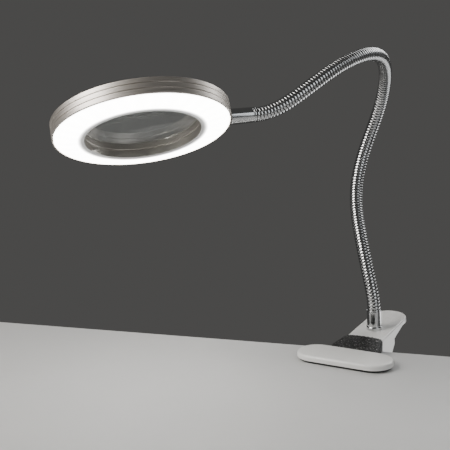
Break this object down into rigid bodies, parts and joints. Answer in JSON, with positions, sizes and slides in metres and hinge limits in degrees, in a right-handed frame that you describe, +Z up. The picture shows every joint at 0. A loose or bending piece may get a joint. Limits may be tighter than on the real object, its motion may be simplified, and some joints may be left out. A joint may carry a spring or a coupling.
{
  "type": "clip-on magnifying lamp",
  "caption": "Ring-lit magnifier on a chrome gooseneck, with a sprung clip that grips a tabletop edge.",
  "frame": {"origin": "centre of the upper jaw pad's underside, on the tabletop that the clip grips", "axes": "+X along the jaw bar, +Y from the jaws to the clip's handles, +Z up off the tabletop"},
  "size_m": [0.2395, 0.3155, 0.3144],
  "materials": {
    "jaw_rubber": "matt black rubber with a fine grip texture",
    "white_shell": "satin white moulded ABS",
    "black_grained": "black moulded nylon with a coarse spark-eroded grain",
    "cord_gland": "black nylon",
    "zinc_steel": "bright zinc-plated steel",
    "chrome": "bright chrome plate",
    "brushed_nickel": "satin nickel, brushed round the ring",
    "cast_frame": "as-cast aluminium",
    "light_board": "white solder-masked board with light chips",
    "opal_diffuser": "opal acrylic, lit from behind",
    "lens_glass": "polished biconvex glass",
    "inner_lead": "black PVC sheath"
  },
  "bodies": {
    "upper_arm": {"upper_jaw_pad": "jaw_rubber", "upper_jaw_cover": "white_shell", "upper_jaw_screw_1": "zinc_steel", "upper_jaw_screw_2": "zinc_steel", "upper_spine": "black_grained", "upper_lever_cover": "white_shell", "upper_lever_screw": "zinc_steel", "pivot_pin": "zinc_steel", "torsion_spring": "zinc_steel", "base_ferrule": "chrome", "base_washer": "zinc_steel", "base_nut": "zinc_steel", "cord_gland": "cord_gland", "neck_1": "chrome", "neck_lead": "inner_lead"},
    "lower_arm": {"lower_jaw_pad": "jaw_rubber", "lower_jaw_cover": "white_shell", "lower_jaw_screw_1": "zinc_steel", "lower_jaw_screw_2": "zinc_steel", "lower_spine": "black_grained", "lower_lever_cover": "white_shell", "lower_lever_screw_1": "zinc_steel", "lower_lever_screw_2": "zinc_steel"},
    "neck_body_2": {"neck_2": "chrome"},
    "neck_body_3": {"neck_3": "chrome"},
    "neck_body_4": {"neck_4": "chrome"},
    "neck_body_5": {"neck_5": "chrome"},
    "neck_body_6": {"neck_6": "chrome"},
    "neck_body_7": {"neck_7": "chrome"},
    "neck_body_8": {"neck_8": "chrome"},
    "head": {"neck_9": "chrome", "head_ferrule": "chrome", "head_nut": "zinc_steel", "outer_bezel": "brushed_nickel", "top_cover": "brushed_nickel", "ring_frame": "cast_frame", "led_board": "light_board", "diffuser": "opal_diffuser", "inner_sleeve": "brushed_nickel", "lens_retaining_ring": "brushed_nickel", "lens": "lens_glass", "cover_screw_1": "zinc_steel", "cover_screw_2": "zinc_steel", "cover_screw_3": "zinc_steel", "cover_screw_4": "zinc_steel"}
  },
  "joints": [
    {"name": "jaw_hinge", "type": "hinge", "parent": "upper_arm", "child": "lower_arm", "pos_m": [0, 0.06, -0.01], "axis": [1, 0, 0], "range_deg": [-14, 25], "stiffness_Nm_per_rad": 1.6, "springref_deg": -40.11, "deforming": ["torsion_spring"]},
    {"name": "neck_bend_1", "type": "hinge", "parent": "upper_arm", "child": "neck_body_2", "pos_m": [-0.01324, 0.07658, 0.07425], "axis": [0.9202, 0.0487, 0.3884], "range_deg": [-20, 20], "deforming": ["neck_lead"]},
    {"name": "neck_bend_2", "type": "hinge", "parent": "neck_body_2", "child": "neck_body_3", "pos_m": [-0.03115, 0.10005, 0.11216], "axis": [0.1775, 0.8362, -0.519], "range_deg": [-20, 20], "deforming": ["neck_lead"]},
    {"name": "neck_bend_3", "type": "hinge", "parent": "neck_body_3", "child": "neck_body_4", "pos_m": [-0.03864, 0.12448, 0.15244], "axis": [0.9843, -0.1752, 0.0191], "range_deg": [-20, 20], "deforming": ["neck_lead"]},
    {"name": "neck_bend_4", "type": "hinge", "parent": "neck_body_4", "child": "neck_body_5", "pos_m": [-0.02738, 0.13501, 0.19738], "axis": [0.2653, 0.9623, -0.0595], "range_deg": [-20, 20], "deforming": ["neck_lead"]},
    {"name": "neck_bend_5", "type": "hinge", "parent": "neck_body_5", "child": "neck_body_6", "pos_m": [-0.01086, 0.11675, 0.23755], "axis": [0.8189, -0.1874, -0.5425], "range_deg": [-20, 20], "deforming": ["neck_lead"]},
    {"name": "neck_bend_6", "type": "hinge", "parent": "neck_body_6", "child": "neck_body_7", "pos_m": [-0.0029, 0.07475, 0.25746], "axis": [0.6079, 0.1122, 0.7861], "range_deg": [-20, 20], "deforming": ["neck_lead"]},
    {"name": "neck_bend_7", "type": "hinge", "parent": "neck_body_7", "child": "neck_body_8", "pos_m": [-0.01156, 0.02839, 0.25213], "axis": [0.7991, -0.0661, -0.5976], "range_deg": [-20, 20], "deforming": ["neck_lead"]},
    {"name": "neck_bend_8", "type": "hinge", "parent": "neck_body_8", "child": "head", "pos_m": [-0.03045, -0.01006, 0.23069], "axis": [0.3897, -0.7029, 0.595], "range_deg": [-20, 20], "deforming": ["neck_lead"]}
  ]
}
